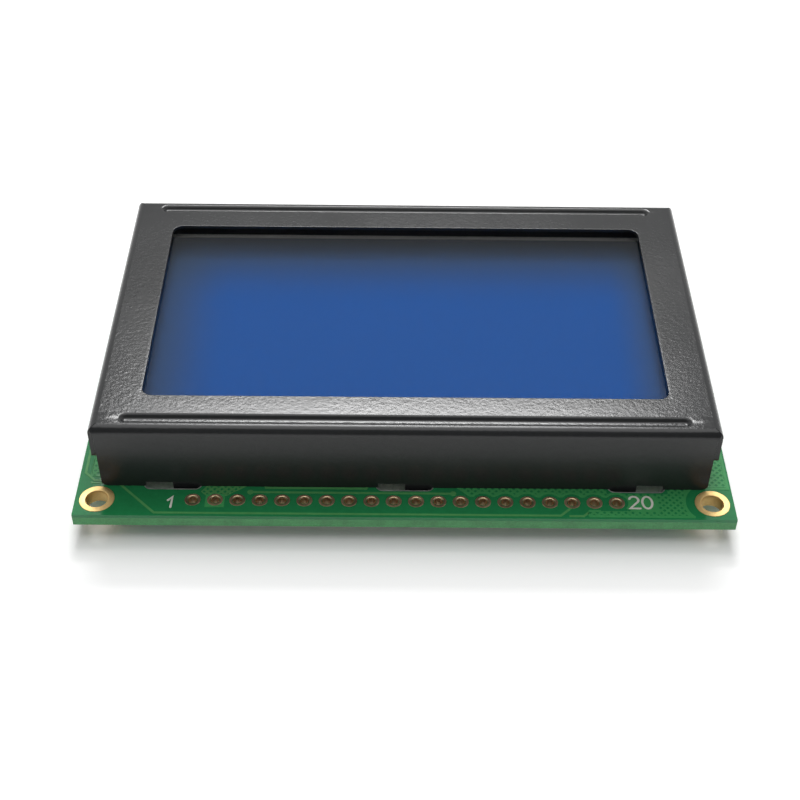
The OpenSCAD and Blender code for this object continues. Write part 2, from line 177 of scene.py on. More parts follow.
class BoardProperties(bpy.types.PropertyGroup):
    mask: colour_property("Solder mask", "Colour of the lacquer over bare laminate", (0.018, 0.222, 0.073))
    covered_copper: colour_property("Covered copper", "Colour of the lacquer over copper", (0.058, 0.335, 0.105))
    # Lacquer over narrow tracks is lighter than over broad copper: partly the lacquer's own tone, partly a painted
    # highlight for the glint along the tracks' rounded edges
    covered_track: colour_property(
        "Covered tracks", "Colour of the lacquer over narrow tracks", (0.090, 0.330, 0.105))
    laminate: colour_property("Laminate", "Colour of the board's cut edges", (0.115, 0.380, 0.155))
    gold: colour_property("Gold", "Colour of the mounting holes' plating", (0.74, 0.53, 0.23))
    bare_copper: colour_property("Bare copper", "Colour of the header holes' plating", (0.66, 0.46, 0.29))
    ink: colour_property("Ink", "Colour of the printed numbers", (0.76, 0.76, 0.68))
    slot_tin: colour_property("Slot plating", "Colour of the tin in the slots", (0.56, 0.57, 0.55))
    copper: length_property("Copper", "Height of the copper over the board", 0.000035)


class DisplayProperties(bpy.types.PropertyGroup):
    blue: colour_property("Blue", "Colour of the dark display, seen through its glass", (0.0027, 0.096, 0.408))


class StageProperties(bpy.types.PropertyGroup):
    lens: FloatProperty(
        name="Lens", description="Focal length of the camera", subtype="DISTANCE_CAMERA", unit="CAMERA",
        default=66.34,
    )
    rear_lamp: power_property("Rear lamp", "Power of the soft lamp behind the module", 1.52)
    upper_lamp: power_property("Upper lamp", "Power of the paler light above the rear lamp", 1.6)
    top_lamp: power_property("Top lamp", "Power of the broad lamp above the module", 2.1)
    sky: FloatProperty(
        name="Sky", description="Strength of the even light from all sides", default=0.43, min=0,
    )


# Shader helpers


def fresh_material(name):
    """A material with only an output and a Principled BSDF."""
    material = bpy.data.materials.new(name)
    material.use_nodes = True
    tree = material.node_tree
    tree.nodes.clear()
    output = tree.nodes.new("ShaderNodeOutputMaterial")
    shader = tree.nodes.new("ShaderNodeBsdfPrincipled")
    tree.links.new(shader.outputs["BSDF"], output.inputs["Surface"])
    return material, tree, shader


def feed(tree, socket, value):
    """Links an input to another socket, or sets it to a number or a colour."""
    if isinstance(value, bpy.types.NodeSocket):
        tree.links.new(value, socket)
    else:
        socket.default_value = value


def math_node(tree, operation, first, second=None):
    """Sum, larger or absolute value of sockets."""
    node = tree.nodes.new("ShaderNodeMath")
    node.operation = operation
    tree.links.new(first, node.inputs[0])
    if second is not None:
        tree.links.new(second, node.inputs[1])
    return node.outputs[0]


def mix_node(tree, kind, factor, first, second):
    """Mix of two values, or of two colours where kind is RGBA."""
    node = tree.nodes.new("ShaderNodeMix")
    node.data_type = kind
    for name, value in (("Factor", factor), ("A", first), ("B", second)):
        feed(tree, node.inputs[name], value)
    return node.outputs["Result"]


def map_range(tree, value, smooth=False, **limits):
    """Takes a value from one range to another; limits such as From_Min are numbers or sockets."""
    node = tree.nodes.new("ShaderNodeMapRange")
    if smooth:
        node.interpolation_type = "SMOOTHSTEP"
    tree.links.new(value, node.inputs["Value"])
    for name, limit in limits.items():
        feed(tree, node.inputs[name.replace("_", " ")], limit)
    return node.outputs["Result"]


def coordinate(tree, kind, axis):
    """One axis of a texture coordinate, such as Object or Normal."""
    place = tree.nodes.new("ShaderNodeTexCoord")
    split = tree.nodes.new("ShaderNodeSeparateXYZ")
    tree.links.new(place.outputs[kind], split.inputs[0])
    return split.outputs[axis]


def levelness(tree):
    """1 on level faces and 0 on upright ones."""
    return math_node(tree, "ABSOLUTE", coordinate(tree, "Normal", "Z"))


def noise(tree, scale, detail):
    """Noise over Object coordinates."""
    place = tree.nodes.new("ShaderNodeTexCoord")
    texture = tree.nodes.new("ShaderNodeTexNoise")
    texture.inputs["Detail"].default_value = detail
    tree.links.new(place.outputs["Object"], texture.inputs["Vector"])
    tree.links.new(scale, texture.inputs["Scale"])
    return texture.outputs["Fac"]


def new_group(name, inputs, outputs):
    """A node group with its sockets, each a name with a default, or with None for a colour."""
    tree = bpy.data.node_groups.new(name, "ShaderNodeTree")
    for side, sockets in (("INPUT", inputs), ("OUTPUT", outputs)):
        for label, value in sockets:
            kind = "NodeSocketColor" if value is None else "NodeSocketFloat"
            socket = tree.interface.new_socket(label, in_out=side, socket_type=kind)
            if value is not None:
                socket.default_value = value
    return tree, tree.nodes.new("NodeGroupInput").outputs, tree.nodes.new("NodeGroupOutput").inputs


def mottle_group():
    """Two colours and a roughness that drift over the surface with fine and broad noise."""
    tree, enter, leave = new_group(
        "mottle",
        (("Low", None), ("High", None), ("Grain", 1500.0), ("Drift", 120.0), ("Smooth", 0.3), ("Rough", 0.4)),
        (("Color", None), ("Roughness", 0.0)),
    )
    grain, drift = noise(tree, enter["Grain"], 3), noise(tree, enter["Drift"], 4)
    spread = map_range(tree, math_node(tree, "ADD", grain, drift), From_Min=0.65, From_Max=1.35)
    gloss = map_range(tree, drift, From_Min=0.3, From_Max=0.7, To_Min=enter["Smooth"], To_Max=enter["Rough"])
    tree.links.new(mix_node(tree, "RGBA", spread, enter["Low"], enter["High"]), leave["Color"])
    tree.links.new(gloss, leave["Roughness"])
    return tree


def ripple_group():
    """Height of a lacquered or painted skin: fine peel on long waves."""
    tree, enter, leave = new_group(
        "ripple", (("Fine", 2500.0), ("Broad", 500.0), ("Share", 0.5)), (("Height", 0.0),),
    )
    fine, broad = noise(tree, enter["Fine"], 1), noise(tree, enter["Broad"], 1)
    tree.links.new(mix_node(tree, "FLOAT", enter["Share"], fine, broad), leave["Height"])
    return tree


GROUPS = {}


def group(name):
    """A shared node group, built at its first use."""
    if name not in GROUPS:
        GROUPS[name] = {"mottle": mottle_group, "ripple": ripple_group}[name]()
    return GROUPS[name]


def rgba(colour, factor=1.0):
    return tuple(min(1.0, c * factor) for c in colour) + (1.0,)


def place_group(tree, group, **values):
    """Puts a node group into a tree and sets its inputs; underscores stand for spaces."""
    node = tree.nodes.new("ShaderNodeGroup")
    node.node_tree = group
    for key, value in values.items():
        node.inputs[key.replace("_", " ")].default_value = value
    return node


def mottle(tree, low, high, rough, grain, drift):
    """A mottle group in a material; rough is its smoothest and roughest."""
    return place_group(
        tree, group("mottle"), Low=low, High=high, Grain=grain, Drift=drift, Smooth=rough[0], Rough=rough[1],
    )


def coat(tree, shader, *values):
    """Feeds a shader's colour and roughness from a mottle."""
    node = mottle(tree, *values)
    tree.links.new(node.outputs["Color"], shader.inputs["Base Color"])
    tree.links.new(node.outputs["Roughness"], shader.inputs["Roughness"])


def ripple(tree, shader, height, fine, broad, share):
    """Bump of a skin, with its height in metres and the scales of its fine and broad waves."""
    node = place_group(tree, group("ripple"), Fine=fine, Broad=broad, Share=share)
    bump = tree.nodes.new("ShaderNodeBump")
    bump.inputs["Distance"].default_value = height
    tree.links.new(node.outputs["Height"], bump.inputs["Height"])
    tree.links.new(bump.outputs["Normal"], shader.inputs["Normal"])


def mottled_finish(name, colour, spread=0.15, rough=(0.3, 0.4), grain=1500.0, drift=120.0, bump=None,
                   metallic=0.0, ior=1.5):
    """Material with a drifting colour and roughness; bump is what ripple() takes."""
    material, tree, shader = fresh_material(name)
    coat(tree, shader, rgba(colour, 1 - spread), rgba(colour, 1 + spread), rough, grain, drift)
    shader.inputs["Metallic"].default_value = metallic
    shader.inputs["IOR"].default_value = ior
    if bump:
        ripple(tree, shader, *bump)
    return material


def lacquer(name, colour, laminate):
    """Green lacquer on level faces and bare laminate on the cut edges, with lacquer that ran over their top."""
    material, tree, shader = fresh_material(name)
    mask = mottle(tree, rgba(colour, 0.9), rgba(colour, 1.1), (0.07, 0.12), 1600.0, 90.0)
    weave = mottle(tree, rgba(laminate, 0.7), rgba(laminate, 1.2), (0.6, 0.8), 5000.0, 700.0)
    run = map_range(
        tree, coordinate(tree, "Object", "Z"), From_Min=(DECK - RUN - RUN_EDGE) * MM, From_Max=(DECK - RUN) * MM,
    )
    cover = math_node(tree, "MAXIMUM", levelness(tree), run)
    for socket, plain, kind in (("Base Color", "Color", "RGBA"), ("Roughness", "Roughness", "FLOAT")):
        mixed = mix_node(tree, kind, cover, weave.outputs[plain], mask.outputs[plain])
        tree.links.new(mixed, shader.inputs[socket])
    ripple(tree, shader, 0.000008, 2200.0, 250.0, 0.6)
    return material


def dry_sides(tree, shader, more):
    """Makes paint rougher on upright faces, where less of it stays."""
    rough = shader.inputs["Roughness"].links[0].from_socket
    extra = map_range(tree, levelness(tree), To_Min=more, To_Max=0.0)
    tree.links.new(math_node(tree, "ADD", rough, extra), shader.inputs["Roughness"])


def plainly_seen(tree):
    """1 where the camera sees a surface, in gloss or through glass too, and 0 where the surface only lights others."""
    path = tree.nodes.new("ShaderNodeLightPath").outputs
    seen = math_node(tree, "MAXIMUM", path["Is Camera Ray"], path["Is Glossy Ray"])
    return math_node(tree, "MAXIMUM", seen, path["Is Transmission Ray"])


def outer_alpha(tree, shader, alpha):
    """Cover of a clear sheet, on the side where light enters and not where it leaves."""
    side = tree.nodes.new("ShaderNodeNewGeometry")
    cover = map_range(tree, side.outputs["Backfacing"], To_Min=alpha, To_Max=0.0)
    tree.links.new(cover, shader.inputs["Alpha"])


# Mesh helpers


def park(name, bm):
    """Makes an object of a mesh, which is used up."""
    mesh = bpy.data.meshes.new(name)
    bm.to_mesh(mesh)
    bm.free()
    item = bpy.data.objects.new(name, mesh)
    bpy.context.collection.objects.link(item)
    return item


def collect(*items):
    """Mesh of the first object with its modifiers done; all the objects are removed."""
    result = bmesh.new()
    result.from_object(items[0], bpy.context.evaluated_depsgraph_get())
    for item in items:
        mesh = item.data
        bpy.data.objects.remove(item)
        bpy.data.meshes.remove(mesh)
    return result


def finish_piece(name, bm, material, replaced=None, sharp=None):
    """Makes a piece of a mesh in millimetres, closed and facing outwards, that rides on the module."""
    bmesh.ops.remove_doubles(bm, verts=bm.verts, dist=MERGE)
    bmesh.ops.recalc_face_normals(bm, faces=bm.faces)
    bmesh.ops.scale(bm, vec=(MM, MM, MM), verts=bm.verts)
    piece = park(name, bm)
    piece.data.materials.append(material)
    if sharp is not None:
        piece.data.shade_smooth()
        piece.data.set_sharp_from_angle(angle=math.radians(sharp))
        # Large flat faces keep their own normal beside small roundings
        piece.modifiers.new("weigh", "WEIGHTED_NORMAL").keep_sharp = True
    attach(piece, "root")
    if replaced:
        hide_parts(replaced)


def carve(bm, cutter):
    """Cuts one closed mesh out of another and gives back the result; both are used up."""
    for source in (bm, cutter):
        bmesh.ops.recalc_face_normals(source, faces=source.faces)
    carved, tool = park("carved", bm), park("cutter", cutter)
    cut = carved.modifiers.new("cut", "BOOLEAN")
    cut.operation = "DIFFERENCE"
    cut.solver = "EXACT"
    cut.object = tool
    return collect(carved, tool)


def verts_of(geom):
    return [item for item in geom if isinstance(item, bmesh.types.BMVert)]


def faces_of(geom):
    return [item for item in geom if isinstance(item, bmesh.types.BMFace)]


def raise_faces(bm, faces, height):
    """Turns flat faces into a closed plate."""
    top = bmesh.ops.extrude_face_region(bm, geom=list(faces))["geom"]
    bmesh.ops.translate(bm, vec=(0, 0, height), verts=verts_of(top))


def ribbon(bm, points, width, level, height, closed=False):
    """Flat strip along points, mitred at its corners, as a closed plate."""
    points = [Vector((p[0], p[1], level)) for p in points]
    count = len(points)
    sides = []
    for i, point in enumerate(points):
        before = (point - points[i - 1]).normalized() if closed or i else None
        after = (points[(i + 1) % count] - point).normalized() if closed or i < count - 1 else None
        way = ((before or after) + (after or before)).normalized()
        reach = width / 2 / max(0.5, way.dot(after or before))
        across = Vector((-way.y, way.x, 0)) * reach
        sides.append((point + across, point - across))
    left, right = (bm.verts.new(corner) for corner in sides[0])
    edge = bm.edges.new((left, right))
    faces = []
    for pair in sides[1:] + (sides[:1] if closed else []):
        made = bmesh.ops.extrude_edge_only(bm, edges=[edge])["geom"]
        faces += faces_of(made)
        ends = verts_of(made)
        if bm.edges.get((left, ends[0])) is None:
            ends.reverse()
        left, right = ends
        left.co, right.co = pair
        edge = bm.edges.get((left, right))
    raise_faces(bm, faces, height)


def disc(bm, centre, radius, level, height, segments=24):
    """Round flat plate."""
    made = bmesh.ops.create_circle(
        bm, cap_ends=True, radius=radius, segments=segments,
        matrix=Matrix.Translation((centre[0], centre[1], level)),
    )
    raise_faces(bm, {face for vert in made["verts"] for face in vert.link_faces}, height)


def on_circle(centre, radius, angle):
    """Point of a circle, at an angle in degrees."""
    angle = math.radians(angle)
    return centre[0] + radius * math.cos(angle), centre[1] + radius * math.sin(angle)


def arc(centre, radius, start, end, steps):
    """Points along a circle, with angles in degrees."""
    return [on_circle(centre, radius, start + (end - start) * i / steps) for i in range(steps + 1)]


def box(low, high):
    """Corners of an upright rectangle, anticlockwise."""
    return [low, (high[0], low[1]), high, (low[0], high[1])]


def bisect(bm, place, way, **options):
    """Cuts a mesh along a plane."""
    bmesh.ops.bisect_plane(
        bm, geom=bm.verts[:] + bm.edges[:] + bm.faces[:], dist=TOUCH, plane_co=place, plane_no=way, **options,
    )


def keep_inside(bm, outline):
    """Cuts a flat mesh back to a convex outline, given anticlockwise."""
    for i, (x, y) in enumerate(outline):
        x0, y0 = outline[i - 1]
        bisect(bm, (x0, y0, 0), (y - y0, x0 - x, 0), clear_outer=True)


def hatch(bm, outline, level, height, pitch=PITCH, line=LINE, solid=None):
    """Crossed copper lines at 45 degrees within a convex outline; solid is a box that stays filled."""
    part = bmesh.new()
    xs, ys = [p[0] for p in outline], [p[1] for p in outline]
    reach = max(max(xs) - min(xs), max(ys) - min(ys))
    count = 2 * math.ceil(reach / pitch)
    # All hatches of a pitch share one grid, so that they run on from one to the next
    step = pitch * math.sqrt(2)
    x, y = (round((max(values) + min(values)) / 2 / step) * step for values in (xs, ys))
    bmesh.ops.create_grid(
        part, x_segments=count, y_segments=count, size=count * pitch / 2,
        matrix=Matrix.Translation((x, y, level)) @ Matrix.Rotation(math.radians(45), 4, "Z"),
    )
    keep_inside(part, outline)
    open_faces = [f for f in part.faces if f.calc_area() > SMALL_CELL * pitch * pitch]
    if solid:
        (x0, y0), (x1, y1) = solid
        middles = ((f, f.calc_center_median()) for f in open_faces)
        open_faces = [f for f, middle in middles if not (x0 < middle.x < x1 and y0 < middle.y < y1)]
    bmesh.ops.inset_individual(part, faces=open_faces, thickness=line / 2, use_even_offset=True)
    bmesh.ops.delete(part, geom=open_faces, context="FACES")
    raise_faces(part, part.faces, height)
    mesh = bpy.data.meshes.new("hatch")
    part.to_mesh(mesh)
    part.free()
    bm.from_mesh(mesh)
    bpy.data.meshes.remove(mesh)


def plated_hole(bm, centre, hole_r, ring, roll):
    """Plated hole by a spun outline: flat rings on both sides that roll into the barrel."""
    x, y = centre
    rim = 0.4 * PROUD
    low = UNDERSIDE - DECK
    curl = arc((hole_r + roll, PROUD - roll), roll, 90, 180, 4)
    half = [(hole_r + ring, -SINK), (hole_r + ring, PROUD - rim), (hole_r + ring - rim, PROUD)] + curl
    wall = [(hole_r + BARREL, low), (hole_r + BARREL, -SINK)]
    outline = half + [(r, low - z) for r, z in reversed(half)] + wall
    corners = [bm.verts.new((x + r, y, DECK + z)) for r, z in outline]
    edges = [bm.edges.new((corners[i - 1], corners[i])) for i in range(len(corners))]
    bmesh.ops.spin(
        bm, geom=edges, cent=(x, y, 0), axis=(0, 0, 1), angle=math.tau, steps=32, use_merge=True,
    )


def level_edges(geom):
    """The edges among new geometry that lie level."""
    return [
        item for item in geom
        if isinstance(item, bmesh.types.BMEdge) and abs(item.verts[0].co.z - item.verts[1].co.z) < TOUCH
    ]


def middle_of(item):
    return sum((v.co for v in item.verts), Vector()) / len(item.verts)


def dress(name, material):
    """Gives a solid of the frame its finish."""
    data = NODES[name].data
    data.materials.clear()
    data.materials.append(material)


# Stage


class LCD_OT_stage(bpy.types.Operator):
    """White floor, even sky, two soft lamps behind the module, one above it, and the camera"""

    bl_idname = "lcd_module.stage"
    bl_label = "Stage"

    def execute(self, context):
        scene = context.scene
        props = scene.lcd_stage
        scene.view_settings.view_transform = "Standard"
        # Lamps reach the blue layer through film and glass, which are six faces each way
        scene.cycles.transparent_max_bounces = 16
        self.floor()
        self.sky(scene, props.sky)
        for name, shape, size, place in LAMPS:
            self.lamp(scene, name, shape, getattr(props, name), size, Vector(place))
        self.camera(scene, props.lens)
        return {"FINISHED"}

    def floor(self):
        bm = bmesh.new()
        bmesh.ops.create_grid(bm, x_segments=1, y_segments=1, size=3.0)
        floor = park("floor", bm)
        material, tree, shader = fresh_material("white_floor")
        shader.inputs["Roughness"].default_value = 0.9
        shader.inputs["Specular IOR Level"].default_value = 0.0
        white = mix_node(tree, "RGBA", plainly_seen(tree), FLOOR_LIT, FLOOR_SEEN)
        tree.links.new(white, shader.inputs["Base Color"])
        floor.data.materials.append(material)

    def sky(self, scene, strength):
        world = bpy.data.worlds.new("even_sky")
        world.use_nodes = True
        tree = world.node_tree
        tree.nodes.clear()
        # In gloss, the room on the camera's side is dimmer than the white behind the module
        room = map_range(
            tree, coordinate(tree, "Generated", "Y"), smooth=True, From_Min=-0.6, From_Max=0.2, To_Min=0.15, To_Max=1.0,
        )
        level = map_range(tree, plainly_seen(tree), To_Min=strength, To_Max=room)
        light = tree.nodes.new("ShaderNodeBackground")
        tree.links.new(level, light.inputs["Strength"])
        output = tree.nodes.new("ShaderNodeOutputWorld")
        tree.links.new(light.outputs["Background"], output.inputs["Surface"])
        scene.world = world

    def lamp(self, scene, name, shape, power, size, place):
        data = bpy.data.lights.new(name, "AREA")
        data.shape = shape
        data.size, data.size_y = size
        data.energy = power
        lamp = bpy.data.objects.new(name, data)
        lamp.location = place
        lamp.rotation_euler = (place - Vector(LAMP_AIM)).to_track_quat("Z", "Y").to_euler()
        scene.collection.objects.link(lamp)

    def camera(self, scene, lens):
        data = bpy.data.cameras.new("camera")
        data.sensor_width = 36.0
        data.lens = lens
        data.clip_start = 0.01
        camera = bpy.data.objects.new("camera", data)
        camera.location = Vector(CAMERA_PLACE) * MM
        camera.rotation_euler = Euler([math.radians(a) for a in CAMERA_TURN], "XYZ")
        scene.collection.objects.link(camera)
        scene.camera = camera


# Pieces and finishes


class LCD_OT_bezel(bpy.types.Operator):
    """Black painted bezel: one bent sheet with a window, two soft beads, four flanges and six twisted tabs"""

    bl_idname = "lcd_module.bezel"
    bl_label = "Bezel"

    def execute(self, context):
        props = context.scene.lcd_bezel
        material = mottled_finish(
            "black_paint", props.paint, spread=0.12, rough=(0.16, 0.21), grain=1800.0, drift=60.0,
            bump=(props.peel, 2500.0, 1500.0, 0.3), ior=1.46,
        )
        dry_sides(material.node_tree, material.node_tree.nodes["Principled BSDF"], 0.12)
        high = node_box("bezel")[1]
        self.face_z, self.end = high.z, high.x
        # The twisted tabs stand out of the long sides, so the box does not give the wall
        self.foot = props.width / MM / 2
        self.side = self.foot + LEAN
        self.bend = props.bend / MM
        self.sheet = props.sheet / MM
        bm = carve(self.thicken(self.skin(props)), self.window(props))
        half_l, half_w = (size / MM / 2 + 0.01 for size in props.window)
        rims = [
            e for e in bm.edges
            if len(e.link_faces) == 2 and e.calc_face_angle() > math.radians(50)
            and all(abs(v.co.x) < half_l and abs(v.co.y) < half_w for v in e.verts)
        ]
        bmesh.ops.bevel(
            bm, geom=rims, offset=props.rim / MM, offset_type="OFFSET", affect="EDGES", segments=2, profile=0.5,
            material=-1, clamp_overlap=False,
        )
        finish_piece("bezel_sheet", bm, material, replaced="bezel", sharp=38)
        return {"FINISHED"}

    def skin(self, props):
        """Outer face of the bent sheet."""
        flat_x, flat_y = self.end - self.bend, self.side - self.bend
        bm = bmesh.new()
        bmesh.ops.create_grid(bm, x_segments=1, y_segments=1, size=1.0)
        bmesh.ops.scale(bm, vec=(flat_x, flat_y, 1), verts=bm.verts)
        bmesh.ops.translate(bm, vec=(0, 0, self.face_z), verts=bm.verts)
        tip = props.bead_length / MM / 2
        half = props.bead_width / MM / 2
        middle = flat_y - half
        # Lines across the face: along the beads, at their ends, and above the tabs and notches
        rows = [middle + half * (i / 8 - 1) for i in range(16)]
        columns = [tip - 2 * half + 2 * half * i / 12 for i in range(13)]
        edges = {x for place, way in TABS for x in (place - way * NOTCH_L, place, place + way * TAB_W)}
        for value in [turn * v for v in rows for turn in (-1, 1)]:
            bisect(bm, (0, value, 0), (0, 1, 0))
        for value in [turn * v for v in columns for turn in (-1, 1)] + sorted(edges):
            bisect(bm, (value, 0, 0), (1, 0, 0))
        for vert in bm.verts:
            along = max(0.0, abs(vert.co.x) - (tip - half))
            inside = half - math.hypot(along, abs(vert.co.y) - middle)
            vert.co.z -= self.bead_depth(inside, props.bead_depth / MM)
        for turn in (1, -1):
            self.flange(bm, 1, turn, flat_y, self.face_z - self.bend - DECK)
            self.flange(bm, 0, turn, flat_x, props.side_flange / MM - self.bend)
            self.tabs(bm, turn)
        return bm

    def bead_depth(self, inside, depth):
        """Depth of a bead at a distance inside its edge: a wide roll, a slope of 45 degrees and a tight foot."""
        roll, foot = self.sheet, BEAD_FOOT
        if inside <= 0:
            return 0.0
        low = math.sqrt(0.5)
        slope = depth - (roll + foot) * (1 - low)
        if inside < roll * low:
            return roll - math.sqrt(roll * roll - inside * inside)
        if inside < roll * low + slope:
            return roll * (1 - low) + inside - roll * low
        left = max(0.0, (roll + foot) * low + slope - inside)
        return depth - foot + math.sqrt(foot * foot - left * left)

    def flange(self, bm, k, turn, start, height):
        """Bends one side of the face down and runs it on as a flange; k is 0 for the ends, 1 for the long sides."""
        other = 1 - k
        known = set(bm.verts)
        edges = [e for e in bm.edges if e.is_boundary and all(abs(v.co[k] - turn * start) < TOUCH for v in e.verts)]
        limit = max(abs(v.co[other]) for e in edges for v in e.verts)
        centre, axis = Vector((0, 0, self.face_z - self.bend)), Vector((0, 0, 0))
        centre[k] = turn * start
        axis[other] = turn if k == 0 else -turn
        last = bmesh.ops.spin(
            bm, geom=edges, cent=centre, axis=axis, angle=math.pi / 2, steps=10, use_merge=False,
        )["geom_last"]
        last = [item for item in last if isinstance(item, bmesh.types.BMEdge)]
        for drop in (height - NOTCH_H, NOTCH_H):
            made = bmesh.ops.extrude_edge_only(bm, edges=last)["geom"]
            bmesh.ops.translate(bm, vec=(0, 0, -drop), verts=verts_of(made))
            last = level_edges(made)
        feet = {v for e in last for v in e.verts}
        corners = []
        for vert in bm.verts:
            if vert in known or abs(vert.co[other]) < limit - TOUCH:
                continue
            out = abs(vert.co[k]) - start
            reach = self.mitre(k, out, self.face_z - vert.co.z)
            vert.co[other] = math.copysign(limit + reach - min(out, SLIT), vert.co[other])
            if vert in feet:
                corners.append(vert)
        if k == 1:
            low = self.face_z - self.bend
            for vert in set(bm.verts) - known:
                vert.co.y -= turn * LEAN * max(0.0, low - vert.co.z) / (low - DECK)
        bmesh.ops.bevel(
            bm, geom=corners, offset=FLANGE_CORNER if k else FLANGE_CORNER / 2, offset_type="OFFSET",
            affect="VERTICES", segments=5, profile=0.5, material=-1,
        )

    def mitre(self, k, out, drop):
        """How far a bend runs on past the flat face at a corner, by its distance out and down."""
        turn = math.radians(50)
        if k == 0:
            return min(out, self.bend - END_SETBACK)
        knee = self.bend * (1 - math.cos(turn))
        if drop < knee:
            return min(out, self.bend * math.sin(turn))
        share = min(1.0, (drop - knee) / (self.bend - knee))
        return self.bend * math.sin(turn) * (1 - share) + (self.bend - SIDE_SETBACK) * share

    def tabs(self, bm, turn):
        """Opens the notches in a long flange and draws its tabs down and round."""
        on_side = self.foot - 0.01
        low = [f for f in bm.faces if turn * middle_of(f).y > on_side and middle_of(f).z < DECK + NOTCH_H]
        gone = [f for f in low for place, way in TABS if 0 < way * (place - middle_of(f).x) < NOTCH_L]
        bmesh.ops.delete(bm, geom=gone, context="FACES")
        # Straight through the board, round in six steps, and straight again: drop and turn of each
        drops = [(DECK - UNDERSIDE + 0.1, 0.0)] + [(0.3, TWIST / 6)] * 6 + [(0.25, 0.0)]
        for place, way in TABS:
            foot = [
                e for e in bm.edges
                if e.is_boundary and turn * middle_of(e).y > on_side and abs(middle_of(e).z - DECK) < 1e-3
                and 0 < way * (middle_of(e).x - place) < TAB_W
            ]
            axis = (place + way * TAB_W / 2, turn * (self.foot - self.sheet / 2), 0)
            for drop, angle in drops:
                made = bmesh.ops.extrude_edge_only(bm, edges=foot)["geom"]
                verts = verts_of(made)
                bmesh.ops.translate(bm, vec=(0, 0, -drop), verts=verts)
                bmesh.ops.rotate(bm, cent=axis, verts=verts, matrix=Matrix.Rotation(math.radians(angle), 3, "Z"))
                foot = level_edges(made)

    def thicken(self, bm):
        """Gives the skin the thickness of the sheet, inwards."""
        bmesh.ops.remove_doubles(bm, verts=bm.verts, dist=MERGE)
        bmesh.ops.recalc_face_normals(bm, faces=bm.faces)
        if max(bm.faces, key=lambda f: f.calc_center_median().z).normal.z < 0:
            bmesh.ops.reverse_faces(bm, faces=bm.faces)
        skin = park("skin", bm)
        shell = skin.modifiers.new("shell", "SOLIDIFY")
        shell.thickness = self.sheet
        shell.offset = -1.0
        shell.use_even_offset = True
        return collect(skin)

    def window(self, props):
        """Cutter for the window: a block with round upright corners."""
        cutter, deep = bmesh.new(), 3.0
        bmesh.ops.create_grid(cutter, x_segments=1, y_segments=1, size=0.5)
        bmesh.ops.scale(cutter, vec=(props.window[0] / MM, props.window[1] / MM, 1), verts=cutter.verts)
        bmesh.ops.bevel(
            cutter, geom=cutter.verts[:], offset=props.window_corner / MM, offset_type="OFFSET", affect="VERTICES",
            segments=8, profile=0.5, material=-1,
        )
        bmesh.ops.translate(cutter, vec=(0, 0, self.face_z - deep / 2), verts=cutter.verts)
        raise_faces(cutter, cutter.faces[:], deep)
        return cutter


class LCD_OT_display(bpy.types.Operator):
    """Film, glass and the blue layer below them"""

    bl_idname = "lcd_module.display"
    bl_label = "Display"

    def execute(self, context):
        props = context.scene.lcd_display
        self.clear_sheet(
            "front_polarizer", "polarizer_film", (0.006, 0.007, 0.010, 1), (0.010, 0.011, 0.014, 1), (0.010, 0.025),
            300.0, 40.0, alpha=0.15, IOR=2.6,
        )
        for side in ("front", "rear"):
            self.clear_sheet(
                side + "_glass", side + "_cell_glass", (0.030, 0.045, 0.042, 1), (0.040, 0.055, 0.052, 1), (0.02, 0.05),
                200.0, 30.0, alpha=0.03, Specular_IOR_Level=0.1,
            )
        blue = mottled_finish("blue_layer", props.blue, spread=0.03, rough=(0.5, 0.6), grain=900.0, drift=40.0)
        # The layer lies in glass, so it has no gloss of its own
        blue.node_tree.nodes["Principled BSDF"].inputs["Specular IOR Level"].default_value = 0.0
        # Painted shade and painted reflection at the edges of the blue
        self.fade(blue.node_tree, props.blue)
        dress("rear_polarizer", blue)
        return {"FINISHED"}

    def clear_sheet(self, node, name, low, high, rough, grain, drift, alpha, **values):
        """Dresses a sheet in a faint tint; values are more of the shader's inputs."""
        material, tree, shader = fresh_material(name)
        coat(tree, shader, low, high, rough, grain, drift)
        outer_alpha(tree, shader, alpha)
        for key, value in values.items():
            shader.inputs[key.replace("_", " ")].default_value = value
        dress(node, material)

    def fade(self, tree, blue):
        """Paints shade into the blue towards the frame, darker and greyer, where less light comes back from the tray
        under it; the grey is a painted reflection.
        """
        shader = tree.nodes["Principled BSDF"]
        colour = shader.inputs["Base Color"].links[0].from_socket
        for axis, edge, reach, dim in PAINTED_SHADE_FADES:
            inner = edge - math.copysign(reach, edge)
            share = map_range(
                tree, coordinate(tree, "Object", axis), smooth=True, From_Min=edge * MM, From_Max=inner * MM,
            )
            # Towards the edge the blue gives way to painted shade: the blue dimmed, with the painted grey reflection
            # added
            colour = mix_node(tree, "RGBA", share, rgba(Vector(blue) * dim + Vector(PAINTED_GREY_REFLECTION)), colour)
        tree.links.new(colour, shader.inputs["Base Color"])


